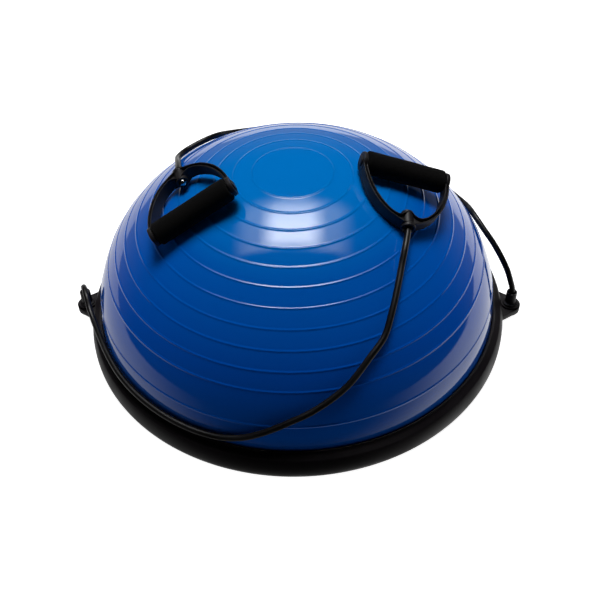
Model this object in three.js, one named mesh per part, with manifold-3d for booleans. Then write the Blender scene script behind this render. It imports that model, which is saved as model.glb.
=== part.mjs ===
// Balance dome trainer: an inflated dome clamped on a round board, with two elastic bands and D-handles.
// Millimetres, +Z up. The origin is on the floor under the middle of the board, and the two band lugs
// are on the X axis. The user stands at -Y.
import * as THREE from "three";
import { mergeVertices } from "three/addons/utils/BufferGeometryUtils.js";
import Module from "manifold-3d";

const wasm = await Module();
wasm.setup();

// ---------- driving dimensions ----------
const GAP = 0.3; // between pieces that touch on the real object
const ROUND = 48; // facets round the dome, rim and board
const SMALL = 20; // facets round the small turned pieces
const AXIS_Z = new THREE.Vector3(0, 0, 1);

const dome = { radius: 273, rise: 215, springZ: 48.8, wall: 3, beadR: 279, beadInnerR: 265 };
const rim = { radius: 290, widestZ: 25, topZ: 50.3, bottomZ: 3, neckR: 273.6, innerR: 256.5 };
const board = { radius: 276, bottomZ: 3, plate: 4, ribTopZ: 27.4, ribWall: 5, spokes: 8 };
const clamp = { innerR: 262.5, outerR: 283, bottomZ: 13.6, topZ: 26.7 };
const foot = { count: 6, circleR: 225, radius: 20, height: 2.7 };
const screw = { count: 8, circleR: 266, headR: 5, shankR: 2.2, headZ: 3.2, tipZ: 13 };
const lug = { holeR: 8, reach: 303, noseR: 14.5, rootHalf: 28, rootX: 285, bottomZ: 15.5, topZ: 25.5 };
const collar = { radius: 7.5, bore: 5.6, topZ: 49, shoulderR: 10.5, ringR: 13, ringTopZ: 28 };
const band = { radius: 4, sides: 8, steps: 48, startZ: 24 };
const valve = { azimuth: 90, height: 75, flangeR: 13, neckR: 5.5, boreR: 3.5, depth: 9 };
const handle = {
  halfWidth: 59, reach: 86, wall: 6, endWall: 5, depth: 16, gripLength: 105, gripR: 15, eyeR: 12.5,
  sleeveR: 8.5, barR: 6, bossR: 7.6, mouthR: 9.3, bossFrom: 66.5, bossTo: 91, webHalf: 21, bore: 5.2, bandInset: 14,
};

// How each handle lies on the dome: the middle of its grip, the way it is pulled from, and its face.
const handlePlaces = {
  left: { grip: [-119.5, -68.2, 252.6], boss: [-0.296, 0.952, -0.078], face: [-0.447, -0.066, 0.892] },
  right: { grip: [140.5, 9.8, 251.4], boss: [0.003, -0.982, -0.189], face: [0.363, -0.175, 0.915] },
};

// ---------- helpers ----------
const degrees = THREE.MathUtils.degToRad;

function closedGeometry(source) {
  const bare = source.clone();
  bare.deleteAttribute("normal");
  bare.deleteAttribute("uv");
  const merged = mergeVertices(bare, 1e-4);
  const index = merged.getIndex().array;
  const kept = [];
  for (let i = 0; i < index.length; i += 3) {
    const [a, b, c] = [index[i], index[i + 1], index[i + 2]];
    if (a !== b && b !== c && c !== a) kept.push(a, b, c);
  }
  const p = merged.getAttribute("position");
  const [a, b, c] = [new THREE.Vector3(), new THREE.Vector3(), new THREE.Vector3()];
  let volume = 0;
  for (let i = 0; i < kept.length; i += 3) {
    a.fromBufferAttribute(p, kept[i]);
    b.fromBufferAttribute(p, kept[i + 1]);
    c.fromBufferAttribute(p, kept[i + 2]);
    volume += a.dot(b.cross(c));
  }
  if (volume < 0) {
    for (let i = 0; i < kept.length; i += 3) [kept[i], kept[i + 1]] = [kept[i + 1], kept[i]];
  }
  merged.setIndex(kept);
  return merged;
}

function toSolid(source) {
  const g = closedGeometry(source);
  return new wasm.Manifold(
    new wasm.Mesh({
      numProp: 3,
      vertProperties: new Float32Array(g.getAttribute("position").array),
      triVerts: new Uint32Array(g.getIndex().array),
    }),
  );
}

function fromSolid(solid) {
  const mesh = solid.getMesh();
  const g = new THREE.BufferGeometry();
  g.setAttribute("position", new THREE.BufferAttribute(mesh.vertProperties, 3));
  g.setIndex(new THREE.BufferAttribute(mesh.triVerts, 1));
  return g;
}

function cut(body, tools) {
  return fromSolid(tools.reduce((solid, tool) => solid.subtract(toSolid(tool)), toSolid(body)));
}

function join(body, pieces) {
  return fromSolid(pieces.reduce((solid, piece) => solid.add(toSolid(piece)), toSolid(body)));
}

// A turned piece about Z from [radius, height] points.
function turned(profile, segments = SMALL) {
  const points = profile.map(([r, z]) => new THREE.Vector2(r, z));
  return closedGeometry(new THREE.LatheGeometry(points, segments).rotateX(Math.PI / 2));
}

// A closed ring profile: its last point repeats its first.
const ring = (profile, segments) => turned([...profile, profile[0]], segments);

function rod(radius, from, to, segments = SMALL) {
  return turned([[0, from], [radius, from], [radius, to], [0, to]], segments);
}

function tube(outer, inner, from, to, segments = SMALL) {
  return ring([[inner, from], [outer, from], [outer, to], [inner, to]], segments);
}

// Turns a piece made along Z so that its axis is X or Y.
const alongX = (g) => g.rotateY(Math.PI / 2);
const alongY = (g) => g.rotateX(-Math.PI / 2);

function placedRound(geometry, radius, angle, height = 0) {
  return geometry.rotateZ(angle).translate(radius * Math.cos(angle), radius * Math.sin(angle), height);
}

// ---------- materials ----------
const finish = (color, roughness, metalness = 0) =>
  new THREE.MeshStandardMaterial({ color, roughness, metalness });
const materials = {
  vinyl: finish(0x0a5bb5, 0.22),
  blackPlastic: finish(0x161617, 0.45),
  rubber: finish(0x121213, 0.6),
  foam: finish(0x0b0b0c, 0.95),
  steel: finish(0xb8babd, 0.3, 1),
};

const model = new THREE.Group();

function add(parent, name, geometry, material) {
  const mesh = new THREE.Mesh(geometry, material);
  mesh.name = name;
  parent.add(mesh);
  return mesh;
}

// ---------- dome ----------
// The radius of the dome skin at a height, as a half ellipsoid.
const skinRadius = (z) => dome.radius * Math.sqrt(1 - ((z - dome.springZ) / dome.rise) ** 2);

// A point on the dome at an azimuth and height, and the way straight out from it.
function onSkin(azimuth, z, lift = 0) {
  const a = degrees(azimuth);
  const r = skinRadius(z);
  const p = new THREE.Vector3(r * Math.cos(a), r * Math.sin(a), z);
  const out = new THREE.Vector3(
    p.x / dome.radius ** 2, p.y / dome.radius ** 2, (z - dome.springZ) / dome.rise ** 2,
  ).normalize();
  return { point: p.addScaledVector(out, lift), out };
}

function ellipseArc(radius, rise, steps) {
  return Array.from({ length: steps + 1 }, (_, i) => {
    const t = (Math.PI / 2) * (1 - i / steps);
    return [i === 0 ? 0 : radius * Math.cos(t), dome.springZ + rise * Math.sin(t)];
  });
}

function valveTurn(geometry) {
  const { point, out } = onSkin(valve.azimuth, valve.height);
  const turn = new THREE.Quaternion().setFromUnitVectors(AXIS_Z, out);
  return geometry.applyQuaternion(turn).translate(point.x, point.y, point.z);
}

function domeSkin() {
  const inner = ellipseArc(dome.radius - dome.wall, dome.rise - dome.wall, 9).reverse();
  const skin = turned([
    ...ellipseArc(dome.radius, dome.rise, 16),
    [dome.radius, 37.2],
    [dome.beadR, 36.8],
    [dome.beadR, 27],
    [dome.beadInnerR, 27],
    [dome.beadInnerR, 31],
    [dome.radius - dome.wall, 35],
    ...inner,
  ], ROUND);
  return cut(skin, [valveTurn(rod(valve.neckR + GAP, -12, 8, 16))]);
}

function valveSeat() {
  const clear = turned([
    ...ellipseArc(dome.radius + GAP, dome.rise + GAP, 16),
    [dome.radius + GAP, 0],
    [0, 0],
  ], ROUND);
  const flange = cut(valveTurn(rod(valve.flangeR, -2, 2.2)), [clear]);
  const seat = join(flange, [valveTurn(rod(valve.neckR, -valve.depth, 2, 16))]);
  return cut(seat, [valveTurn(rod(valve.boreR, -20, 20, 16))]);
}

function valvePlug() {
  const stem = valve.boreR - GAP;
  const head = [[stem, 2.5], [8, 2.5], [8, 4], [6.5, 5], [0, 5]];
  return valveTurn(turned([[0, -6], [stem - 1, -6], [stem, -4], ...head]));
}

add(model, "dome_skin", domeSkin(), materials.vinyl);
add(model, "dome_floor", rod(dome.beadInnerR - GAP, 28, 30, ROUND), materials.vinyl);
add(model, "valve_seat", valveSeat(), materials.blackPlastic);
add(model, "valve_plug", valvePlug(), materials.blackPlastic);

// ---------- board, clamp and rim ----------
const screwAngles = Array.from({ length: screw.count }, (_, i) => degrees(22.5 + (360 / screw.count) * i));

const screwHoles = (radius) =>
  screwAngles.map((angle) => placedRound(rod(radius, -1, 16, 12), screw.circleR, angle));

function boardShape() {
  const top = board.bottomZ + board.plate;
  const ribs = [80, 165, 251].flatMap((r) => [
    [r, top],
    [r, board.ribTopZ],
    [r + board.ribWall, board.ribTopZ],
    [r + board.ribWall, top],
  ]);
  const plate = turned([
    [0, board.bottomZ],
    [board.radius, board.bottomZ],
    [board.radius, top],
    ...ribs.reverse(),
    [0, top],
  ], ROUND);
  const spokeHeight = board.ribTopZ - top + 1;
  const spokes = Array.from({ length: board.spokes }, (_, i) => {
    const spoke = new THREE.BoxGeometry(232, 4, spokeHeight);
    spoke.translate(20 + 232 / 2, 0, board.ribTopZ - spokeHeight / 2);
    return spoke.rotateZ(degrees((360 / board.spokes) * i));
  });
  const sinks = screwAngles.map((angle) =>
    placedRound(turned([[0, 2], [screw.headR + 1.5, 2], [2.6, 6], [0, 6]], 12), screw.circleR, angle),
  );
  return cut(join(plate, spokes), [...screwHoles(screw.shankR + GAP), ...sinks]);
}

// The lug outline is a wide root in the rim wall and a round nose about the collar's hole.
function lugPlate(side) {
  const outline = new THREE.Shape();
  const noseFrom = degrees(58);
  const noseStart = new THREE.Vector2(lug.reach, 0).add(
    new THREE.Vector2(lug.noseR, 0).rotateAround(new THREE.Vector2(), -noseFrom),
  );
  outline.moveTo(lug.rootX, -lug.rootHalf);
  outline.lineTo(noseStart.x, noseStart.y);
  outline.absarc(lug.reach, 0, lug.noseR, -noseFrom, noseFrom, false);
  outline.lineTo(lug.rootX, lug.rootHalf);
  outline.closePath();
  const plate = new THREE.ExtrudeGeometry(outline, {
    depth: lug.topZ - lug.bottomZ, bevelEnabled: false, curveSegments: 12,
  }).translate(0, 0, lug.bottomZ);
  return side > 0 ? plate : plate.rotateZ(Math.PI);
}

function rimShape() {
  const { radius, topZ, bottomZ, neckR, innerR } = rim;
  const section = ring([
    [neckR, 37.6],
    [neckR, topZ - 1.4],
    [neckR + 1, topZ],
    [neckR + 3, topZ],
    [neckR + 4.6, topZ - 1.8],
    [neckR + 7.6, topZ - 4],
    [radius - 4.8, topZ - 9.5],
    [radius - 1.5, topZ - 17],
    [radius, rim.widestZ],
    [radius - 1.4, 17.5],
    [radius - 5, 12],
    [radius - 9, 8],
    [radius - 12, bottomZ + 1.6],
    [board.radius + 0.5, bottomZ],
    [board.radius + 0.5, 7.3],
    [innerR, 7.3],
    [innerR, 13.3],
    [283.6, 13.3],
    [284, 30],
    [281, 37.6],
  ], ROUND);
  const rings = [1, -1].map((side) =>
    rod(collar.ringR, lug.topZ - 1, collar.ringTopZ, 24).translate(side * lug.reach, 0, 0),
  );
  const holes = [1, -1].map((side) => rod(lug.holeR, 0, 40, 24).translate(side * lug.reach, 0, 0));
  const joined = join(section, [lugPlate(1), lugPlate(-1), ...rings]);
  return cut(joined, [...holes, ...screwHoles(screw.shankR + GAP)]);
}

add(model, "base_board", boardShape(), materials.blackPlastic);
const clampRing = tube(clamp.outerR, clamp.innerR, clamp.bottomZ, clamp.topZ, ROUND);
add(model, "bead_clamp_ring", clampRing, materials.blackPlastic);
add(model, "base_rim", rimShape(), materials.blackPlastic);

for (let i = 0; i < foot.count; i++) {
  const pad = placedRound(rod(foot.radius, 0, foot.height), foot.circleR, degrees((360 / foot.count) * i));
  add(model, `foot_pad_${i + 1}`, pad, materials.rubber);
}

screwAngles.forEach((angle, i) => {
  const { headR, shankR, headZ, tipZ } = screw;
  const body = turned([[0, headZ], [headR, headZ], [shankR, headZ + 2.6], [shankR, tipZ - 1.5], [0, tipZ]], 12);
  add(model, `base_screw_${i + 1}`, placedRound(body, screw.circleR, angle), materials.steel);
});

// ---------- lug fittings ----------
function collarShape() {
  const { radius, bore, topZ, shoulderR, ringTopZ } = collar;
  const shoulder = ringTopZ + GAP;
  return ring([
    [bore, 15.6],
    [radius, 15.6],
    [radius, shoulder],
    [shoulderR, shoulder],
    [shoulderR, shoulder + 1.5],
    [radius, shoulder + 3],
    [radius, topZ - 0.8],
    [radius - 0.8, topZ],
    [bore, topZ],
  ]);
}

// The clip under the lug that keeps the collar from being pulled out.
const collarClip = () => tube(12, collar.bore, 11.5, 15.2);

// The band's lower end is swollen over this ball, which is too big for the clip.
function bandStopper() {
  const top = band.startZ - GAP;
  return turned([[0, 4], [3, 4.4], [5.4, 6.4], [6.2, 9], [4.6, 11.2], [3, 12], [3, top], [0, top]]);
}

for (const [side, sign] of [["left", -1], ["right", 1]]) {
  const x = sign * lug.reach;
  add(model, `${side}_collar`, collarShape().translate(x, 0, 0), materials.blackPlastic);
  add(model, `${side}_collar_clip`, collarClip().translate(x, 0, 0), materials.blackPlastic);
  add(model, `${side}_band_stopper`, bandStopper().translate(x, 0, 0), materials.rubber);
}

// ---------- handles ----------
// In a handle's own frame the grip lies along X, the boss is at +Y and the face looks along +Z.
function frameShape() {
  const { halfWidth, reach, wall, endWall, depth, eyeR, webHalf } = handle;
  const { bossR, mouthR, bossFrom, bossTo, bore, barR } = handle;
  const innerReach = reach - wall;
  const outer = new THREE.EllipseCurve(0, 0, halfWidth, reach, 0, Math.PI, false);
  const inner = new THREE.EllipseCurve(0, 0, halfWidth - endWall, innerReach, Math.PI, 0, true);
  const bow = new THREE.Shape([...outer.getPoints(24), ...inner.getPoints(24)]);
  const bowl = new THREE.ExtrudeGeometry(bow, { depth, bevelEnabled: false }).translate(0, 0, -depth / 2);
  const innerAt = (x) => innerReach * Math.sqrt(1 - (x / (halfWidth - endWall)) ** 2);
  const outerAt = (x) => reach * Math.sqrt(1 - (x / halfWidth) ** 2);
  const side = [[bossR - 1, bossFrom + 0.5], [bossR + 2, bossFrom + 4], [webHalf, innerAt(webHalf) + 1]];
  side.push([webHalf, outerAt(webHalf) - 1], [bossR - 1, bossTo - 4]);
  const outline = [...side, ...side.map(([x, y]) => [-x, y]).reverse()];
  const web = new THREE.Shape(outline.map(([x, y]) => new THREE.Vector2(x, y)));
  const thick = depth - 1.6;
  const gusset = new THREE.ExtrudeGeometry(web, { depth: thick, bevelEnabled: false }).translate(0, 0, -thick / 2);
  const eyes = [halfWidth - endWall / 2, -halfWidth + endWall / 2].map((x) =>
    alongX(rod(eyeR, -endWall / 2, endWall / 2)).translate(x, 0, 0),
  );
  const boss = alongY(turned([
    [0, bossFrom], [bossR, bossFrom], [bossR, bossTo - 6], [mouthR, bossTo - 4], [mouthR, bossTo], [0, bossTo],
  ]));
  const bores = [alongY(rod(bore, bossFrom - 10, bossTo + 10)), alongX(rod(barR + GAP, -90, 90))];
  return cut(join(bowl, [...eyes, gusset, boss]), bores);
}

// The shiny ball that the band's upper end is swollen over, seated in the boss.
function bandBall() {
  const { bossFrom, bossTo, bandInset } = handle;
  const neck = bossTo - bandInset - GAP;
  return alongY(turned([
    [0, bossFrom - 3.6], [2.4, bossFrom - 3.2], [4.2, bossFrom - 1.6], [4.8, bossFrom + 0.6], [4.8, bossFrom + 3],
    [3, bossFrom + 5], [3, neck], [0, neck],
  ]));
}

// A flush pin head outside each eye, on a shank that runs into the bar.
function gripCap(end) {
  const start = handle.halfWidth + GAP;
  const cap = turned([
    [0, start - 10], [3.4, start - 10], [3.4, start], [7, start],
    [7, start + 0.9], [6, start + 1.6], [0, start + 1.6],
  ]);
  return end > 0 ? alongX(cap) : alongX(cap).rotateZ(Math.PI);
}

function placeHandle(side) {
  const { grip, boss, face } = handlePlaces[side];
  const y = new THREE.Vector3(...boss).normalize();
  const x = y.clone().cross(new THREE.Vector3(...face)).normalize();
  const z = x.clone().cross(y);
  const group = new THREE.Group();
  group.quaternion.setFromRotationMatrix(new THREE.Matrix4().makeBasis(x, y, z));
  group.position.set(...grip);
  model.add(group);
  return group;
}

const handleGroups = {};
for (const side of ["left", "right"]) {
  const group = placeHandle(side);
  const { gripLength, gripR, sleeveR, barR, halfWidth } = handle;
  const half = gripLength / 2;
  add(group, `${side}_handle_frame`, frameShape(), materials.blackPlastic);
  add(group, `${side}_grip_bar`, alongX(tube(barR, 3.8, -halfWidth, halfWidth)), materials.blackPlastic);
  const sleeveHalf = half + 0.9;
  add(group, `${side}_grip_sleeve`, alongX(tube(sleeveR, barR + 0.5, -sleeveHalf, sleeveHalf)), materials.blackPlastic);
  add(group, `${side}_foam_grip`, alongX(tube(gripR, sleeveR + GAP, -half, half, 28)), materials.foam);
  add(group, `${side}_grip_cap_a`, gripCap(1), materials.blackPlastic);
  add(group, `${side}_grip_cap_b`, gripCap(-1), materials.blackPlastic);
  add(group, `${side}_band_ball`, bandBall(), materials.steel);
  handleGroups[side] = group;
}

// ---------- bands ----------
// A band's route runs from its lug, over the rim or through the air, along the dome and into the boss.
const BAND_LIFT = band.radius + 0.9;
const lies = (azimuth, height, lift = BAND_LIFT) => onSkin(azimuth, height, lift).point;
const free = (x, y, z) => new THREE.Vector3(x, y, z);

// A point on the axis of a handle's boss, at a distance from its grip.
function bossPoint(side, distance, drop = 0) {
  const group = handleGroups[side];
  group.updateMatrixWorld();
  return group.localToWorld(new THREE.Vector3(0, distance, -drop));
}

const lugPoint = (sign, z) => free(sign * lug.reach, 0, z);
const bandEnd = handle.bossTo - handle.bandInset;

const routes = {
  left: [
    lugPoint(-1, band.startZ), lugPoint(-1, 38), lugPoint(-1, 52),
    free(-301, -5, 63), free(-296, -17, 69), free(-291, -30, 68), free(-286, -44, 61.5), free(-279, -60, 57.5),
    free(-268, -84, 57),
    lies(-152, 59), lies(-143, 59), lies(-134, 59), lies(-125, 59), lies(-116, 59.5), lies(-108, 63),
    lies(-102, 71), lies(-98, 80), lies(-94, 90), lies(-90, 100), lies(-84, 113), lies(-75, 135),
    lies(-67, 158), free(110, -200, 174), free(119, -176.5, 190.5), free(126, -150.5, 204.5),
    free(131.5, -126, 216.5), free(136, -107, 227.5),
    bossPoint("right", handle.bossTo), bossPoint("right", bandEnd),
  ],
  right: [
    lugPoint(1, band.startZ), lugPoint(1, 38), lugPoint(1, 52),
    free(298.5, 1, 68), free(291.5, 5, 87), free(282, 13, 104), free(271, 26, 118), free(259, 42, 128.5),
    lies(15, 133), lies(21, 125), lies(27, 116.5), lies(33, 112.5), lies(40, 117), lies(48, 128), lies(57, 139),
    lies(67, 148), lies(77, 155), lies(87, 160.5), lies(96, 163.5), lies(104, 166), lies(111, 171),
    lies(117.5, 180), lies(123, 190.5), lies(129, 196.5), lies(135, 196.5), lies(141, 196.5), lies(147, 203),
    lies(152, 212, 6), free(-154, 56, 233), bossPoint("left", 104, 2), bossPoint("left", handle.bossTo),
    bossPoint("left", bandEnd),
  ],
};

function bandTube(points) {
  const section = new THREE.Shape();
  for (let i = 0; i < band.sides; i++) {
    const a = (2 * Math.PI * i) / band.sides;
    const [x, y] = [band.radius * Math.cos(a), band.radius * Math.sin(a)];
    if (i === 0) section.moveTo(x, y);
    else section.lineTo(x, y);
  }
  section.closePath();
  const path = new THREE.CatmullRomCurve3(points, false, "centripetal");
  return closedGeometry(new THREE.ExtrudeGeometry(section, { steps: band.steps, extrudePath: path }));
}

for (const side of ["left", "right"]) {
  add(model, `${side}_band`, bandTube(routes[side]), materials.rubber);
}

export default model;
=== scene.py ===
"""Balance dome trainer: an air-filled vinyl dome clamped on a black board, with two elastic bands and D-handles.

Every length is in metres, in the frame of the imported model: +Z up, the origin on the floor under the middle of
the board, the band lugs on the X axis and the user at -Y. Sizes that a maker would read off a drawing are given
in millimetres through MM.
"""

from __future__ import annotations

import logging
import math
from dataclasses import dataclass, field
from enum import Enum
from typing import Any, Callable, Sequence

import bpy
import numpy as np
from mathutils import Matrix, Vector


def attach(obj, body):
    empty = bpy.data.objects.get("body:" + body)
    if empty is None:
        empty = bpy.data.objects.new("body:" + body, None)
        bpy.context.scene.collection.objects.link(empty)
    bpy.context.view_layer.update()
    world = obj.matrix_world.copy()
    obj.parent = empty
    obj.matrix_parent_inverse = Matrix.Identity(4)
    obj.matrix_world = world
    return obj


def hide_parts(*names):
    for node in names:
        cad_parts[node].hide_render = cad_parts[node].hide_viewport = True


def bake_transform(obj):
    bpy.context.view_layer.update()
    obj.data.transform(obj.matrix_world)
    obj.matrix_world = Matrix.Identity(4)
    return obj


LOG = logging.getLogger("balance_dome")
MM = 0.001
TAU = 2.0 * math.pi
LUG_REACH = 303.0  # millimetres from the board's middle to the hole of each lug
COLLAR_TOP = 49.0  # where a band leaves its collar
Array = np.ndarray
Pair = tuple[float, float]


class Side(Enum):
    """The two lugs, handles and bands. The value is the sign of the lug's X."""

    LEFT = -1
    RIGHT = 1

    @property
    def label(self) -> str:
        """The word that CAD nodes and pieces of this side start with."""
        return self.name.lower()

    @property
    def other(self) -> "Side":
        """The opposite side."""
        return Side(-self.value)


# ---- Nodes and finishes ----


def linear(hex_colour: str) -> tuple[float, float, float, float]:
    """Turns an sRGB hex colour to the linear values that shaders take.

    Args:
        hex_colour: six hex digits after a #.

    Returns:
        The linear red, green and blue, and a full alpha.
    """
    digits = hex_colour.lstrip("#")
    parts = np.array([int(digits[i : i + 2], 16) / 255.0 for i in (0, 2, 4)])
    low = parts / 12.92
    high = ((parts + 0.055) / 1.055) ** 2.4
    red, green, blue = np.where(parts <= 0.04045, low, high)
    return float(red), float(green), float(blue), 1.0


CLOUD_SIZE = 45.0  # patches of uneven gloss, as many times wider than the grain
MATH, REMAP, NOISE, BUMP, RAMP = (
    "ShaderNodeMath",
    "ShaderNodeMapRange",
    "ShaderNodeTexNoise",
    "ShaderNodeBump",
    "ShaderNodeValToRGB",
)
SMOOTH = {"interpolation_type": "SMOOTHSTEP"}
PLUS, TIMES = {"operation": "ADD"}, {"operation": "MULTIPLY"}


def add_node(
    tree: bpy.types.NodeTree,
    kind: str,
    inputs: dict[str | int, Any] | Sequence[Any] = (),
    stops: Sequence[tuple[float, Any]] = (),
    feeds: bpy.types.NodeSocket | None = None,
    **settings: Any,
) -> bpy.types.Node:
    """Adds a node, sets it and links it.

    Args:
        tree: the node tree of a material or of the world.
        kind: the node's type name.
        inputs: for each input, in order or by name, a value, an output socket, or a node to take the first
            output of.
        stops: for a node with a colour ramp, pairs of a place from 0 to 1 and a linear colour.
        feeds: an input of another node that takes its first output.
        **settings: node properties by name.

    Returns:
        The new node.
    """
    node = tree.nodes.new(kind)
    for key, value in settings.items():
        setattr(node, key, value)
    for key, value in (inputs if isinstance(inputs, dict) else dict(enumerate(inputs))).items():
        if isinstance(value, (bpy.types.Node, bpy.types.NodeSocket)):
            link_from = value.outputs[0] if isinstance(value, bpy.types.Node) else value
            tree.links.new(link_from, node.inputs[key])
        else:
            node.inputs[key].default_value = value
    for number, (place, colour) in enumerate(stops):
        elements = node.color_ramp.elements
        element = elements[number] if number < len(elements) else elements.new(1.0)
        element.position, element.color = place, colour
    if feeds:
        tree.links.new(node.outputs[0], feeds)
    return node


@dataclass(frozen=True)
class Finish:
    """What a surface is made of and how it was made, with the numbers that its shader starts from."""

    name: str
    colour: str
    roughness: float
    ior: float = 1.5
    metallic: float = 0.0

    def build(self) -> bpy.types.Material:
        """Makes the material, or returns it if it is there already.

        Returns:
            The material, named for the finish.
        """
        known = bpy.data.materials.get(self.name)
        if known:
            return known
        material = bpy.data.materials.new(self.name)
        material.use_nodes = True
        material.diffuse_color = linear(self.colour)
        tree = material.node_tree
        shader = tree.nodes["Principled BSDF"]
        shader.inputs["Base Color"].default_value = linear(self.colour)
        shader.inputs["Roughness"].default_value = self.roughness
        shader.inputs["Metallic"].default_value = self.metallic
        if not self.metallic:
            shader.inputs["IOR"].default_value = self.ior
        self.detail(tree, shader)
        return material

    def detail(self, tree: bpy.types.NodeTree, shader: bpy.types.Node) -> None:
        """Adds what this finish shows beyond plain colour and gloss. A bare finish adds nothing."""

    def grain(
        self,
        tree: bpy.types.NodeTree,
        shader: bpy.types.Node,
        size: float,
        height: float,
        swing: float,
    ) -> None:
        """Gives the surface a fine grain in its height and an unevenness in its gloss.

        Args:
            tree: the material's node tree.
            shader: the Principled BSDF.
            size: the grain's width in metres.
            height: how high the grain stands, in metres.
            swing: how far roughness strays to each side of its middle.
        """
        where = add_node(tree, "ShaderNodeTexCoord").outputs["Object"]
        noise = add_node(tree, NOISE, {"Vector": where, "Scale": 1.0 / size, "Detail": 3.0, "Roughness": 0.6})
        cloud = add_node(tree, NOISE, {"Vector": where, "Scale": 1.0 / (size * CLOUD_SIZE), "Detail": 2.0})
        ends = (0.3, 0.7, self.roughness - swing, self.roughness + swing)
        add_node(tree, REMAP, (cloud, *ends), feeds=shader.inputs["Roughness"], **SMOOTH)
        relief = {"Height": noise, "Distance": height, "Strength": 1.0}
        add_node(tree, BUMP, relief, feeds=shader.inputs["Normal"])


@dataclass(frozen=True)
class BlownVinyl(Finish):
    """Calendered and blown PVC sheet: a wet gloss over a strong blue, with painted shade that pales it up the dome.
    """

    # painted shade: these blues run from the lit crown down to the shaded foot, standing in for the overhead light
    crown: str = "#0089EA"
    shoulder: str = "#0066D2"
    skirt: str = "#0059CC"
    foot: str = "#0058C0"
    top: float = 265 * MM  # the height that the shades' shares are of

    def detail(self, tree: bpy.types.NodeTree, shader: bpy.types.Node) -> None:
        """Paints shade into the colour, paler up the dome where the overhead light falls, and adds the faint orange
        peel of blown sheet.
        """
        place = add_node(tree, "ShaderNodeTexCoord").outputs["Object"]
        height = add_node(tree, "ShaderNodeSeparateXYZ", (place,)).outputs["Z"]
        level = add_node(tree, MATH, (height, self.top), operation="DIVIDE")
        # painted shade: the colour is ramped by height, darker towards the foot and paler up to the crown
        painted_shades = zip((0.25, 0.55, 0.83, 0.97), (self.foot, self.skirt, self.shoulder, self.crown))
        stops = [(share, linear(shade)) for share, shade in painted_shades]
        add_node(tree, RAMP, (level,), stops, shader.inputs["Base Color"])
        self.grain(tree, shader, size=17 * MM, height=0.07 * MM, swing=0.02)


@dataclass(frozen=True)
class MouldedPlastic(Finish):
    """Injection-moulded polypropylene with a spark-eroded grain: satin black, greyer where light grazes it."""

    grain_size: float = 0.9 * MM  # a 0.3 mm grain drawn coarser, so that it shows
    grain_height: float = 0.035 * MM
    swing: float = 0.06

    def detail(self, tree: bpy.types.NodeTree, shader: bpy.types.Node) -> None:
        """Adds the mould grain."""
        self.grain(tree, shader, self.grain_size, self.grain_height, self.swing)


@dataclass(frozen=True)
class LatexTube(Finish):
    """Dipped black latex tube: smooth satin, with faint talc streaks drawn out along its length."""

    talc: str = "#1D1B1C"
    streaks: tuple[float, float, float] = (0.02, 0.9, 1.0)  # noise cells in each millimetre along and round

    def detail(self, tree: bpy.types.NodeTree, shader: bpy.types.Node) -> None:
        """Adds streaks in the tube's own UV map, which runs along it and round it in millimetres."""
        chart = add_node(tree, "ShaderNodeUVMap", uv_map="UVMap")
        drawn = add_node(tree, "ShaderNodeMapping", {"Vector": chart, "Scale": self.streaks})
        streak = add_node(tree, NOISE, {"Vector": drawn, "Scale": 1.0, "Detail": 3.0})
        stops = [(0.35, linear(self.colour)), (0.75, linear(self.talc))]
        add_node(tree, RAMP, (streak,), stops, shader.inputs["Base Color"])
        ends = (0.3, 0.7, self.roughness - 0.05, self.roughness + 0.1)
        add_node(tree, REMAP, (streak, *ends), feeds=shader.inputs["Roughness"], **SMOOTH)
        relief = {"Height": streak, "Distance": 0.03 * MM, "Strength": 1.0}
        add_node(tree, BUMP, relief, feeds=shader.inputs["Normal"])


@dataclass(frozen=True)
class CellFoam(Finish):
    """Cut nitrile foam: dead matt, with open cells about half a millimetre wide and a dusty edge."""

    cell: float = 1.0 * MM  # 0.5 mm cells drawn at twice their size, so that they show
    lump: float = 6.25 * MM
    # painted shade: the dark colour that the hollows of the cells are painted
    pit: str = "#040404"

    def detail(self, tree: bpy.types.NodeTree, shader: bpy.types.Node) -> None:
        """Adds the pits of the cells, with painted shade that darkens their hollows against paler rims, and a soft
        sheen.
        """
        place = add_node(tree, "ShaderNodeTexCoord").outputs["Object"]
        cells = add_node(tree, "ShaderNodeTexVoronoi", {"Vector": place, "Scale": 1.0 / self.cell})
        pit = add_node(tree, REMAP, (cells, 0.1, 0.6, 0.0, 1.0), **SMOOTH)
        lumps = add_node(tree, NOISE, {"Vector": place, "Scale": 1.0 / self.lump, "Detail": 4.0})
        raised = add_node(tree, MATH, (lumps, 1.5), **TIMES)
        height = add_node(tree, MATH, (pit, raised), **PLUS)
        relief = {"Height": height, "Distance": 0.22 * MM, "Strength": 0.9}
        add_node(tree, BUMP, relief, feeds=shader.inputs["Normal"])
        # painted shade: the colour is darkened in the pits, where their hollows would fall in shade
        stops = [(0.25, linear(self.pit)), (0.8, linear(self.colour))]
        add_node(tree, RAMP, (pit,), stops, shader.inputs["Base Color"])
        shader.inputs["Specular IOR Level"].default_value = 0.2


@dataclass(frozen=True)
class TurnedSteel(Finish):
    """Bright zinc-plated steel with faint turning marks."""

    def detail(self, tree: bpy.types.NodeTree, shader: bpy.types.Node) -> None:
        """Adds the fine unevenness of plating."""
        self.grain(tree, shader, size=0.5 * MM, height=0.004 * MM, swing=0.05)


VINYL = BlownVinyl("blown_pvc_blue", "#0062D2", roughness=0.055, ior=1.53)
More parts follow.
